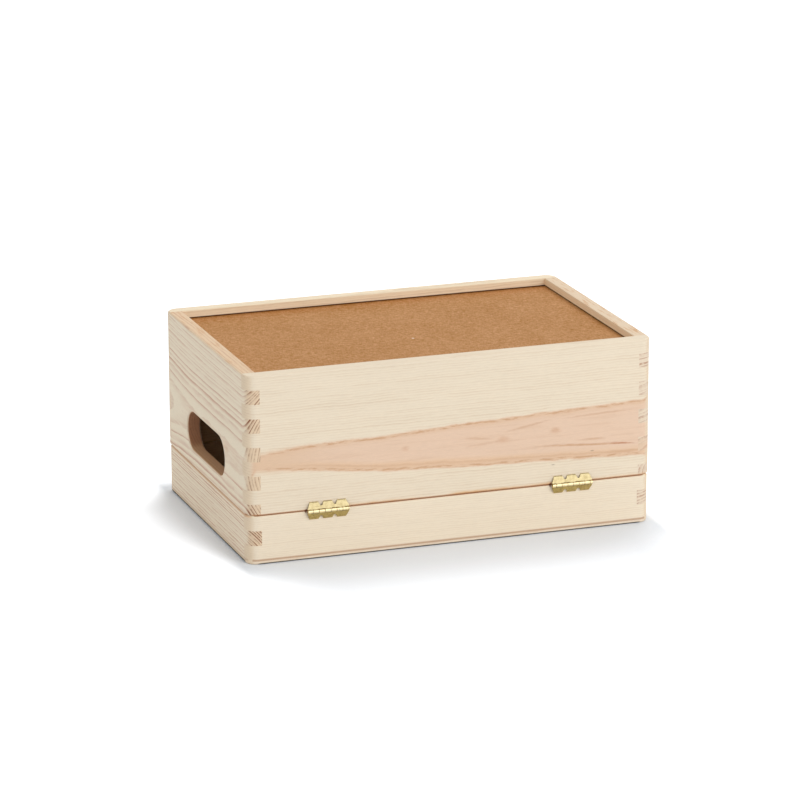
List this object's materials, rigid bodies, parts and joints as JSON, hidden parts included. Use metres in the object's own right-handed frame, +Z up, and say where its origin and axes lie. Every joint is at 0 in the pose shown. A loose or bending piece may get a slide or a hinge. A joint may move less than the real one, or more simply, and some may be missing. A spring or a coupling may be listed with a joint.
{
  "type": "wooden box with hinged lid",
  "caption": "Pine storage box with comb-jointed walls, a grooved hardboard bottom, a handle slot in each end and a shallow lid on brass hinges, standing upside down on its lid.",
  "frame": {"origin": "in the plane of the lid's outer face, which lies on the surface the box stands on, under the middle of the box's plan", "axes": "+X along the box's long side, towards its right end as seen from the hinge side; +Y from the hinge side to the opening side; +Z up, from the lid to the box's hardboard bottom, because the box stands upside down"},
  "size_m": [0.3, 0.1978, 0.1353],
  "materials": {
    "pine_walls": "bare sanded pine, fine grain with a pinkish band of heartwood",
    "pine_ends": "bare sanded pine with wider cathedral grain",
    "lid_board": "bare sanded thin pine board",
    "hardboard": "smooth brown hardboard with a mottled fibrous face",
    "hinge_brass": "bright brass plating on pressed sheet",
    "pin_brass": "bright brass plating on round wire"
  },
  "bodies": {
    "lid": {"lid_hinge_rail": "pine_walls", "lid_front_rail": "pine_walls", "lid_left_rail": "pine_ends", "lid_right_rail": "pine_ends", "lid_panel": "lid_board", "hinge_left_lid_leaf": "hinge_brass", "hinge_left_pin": "pin_brass", "hinge_right_lid_leaf": "hinge_brass", "hinge_right_pin": "pin_brass"},
    "box": {"box_hinge_wall": "pine_walls", "box_front_wall": "pine_walls", "box_left_wall": "pine_ends", "box_right_wall": "pine_ends", "bottom_panel": "hardboard", "hinge_left_box_leaf": "hinge_brass", "hinge_right_box_leaf": "hinge_brass"}
  },
  "joints": [
    {"name": "lid_hinge", "type": "hinge", "parent": "lid", "child": "box", "pos_m": [0, -0.0994, 0.03515], "axis": [1, 0, 0], "range_deg": [0, 111]}
  ]
}
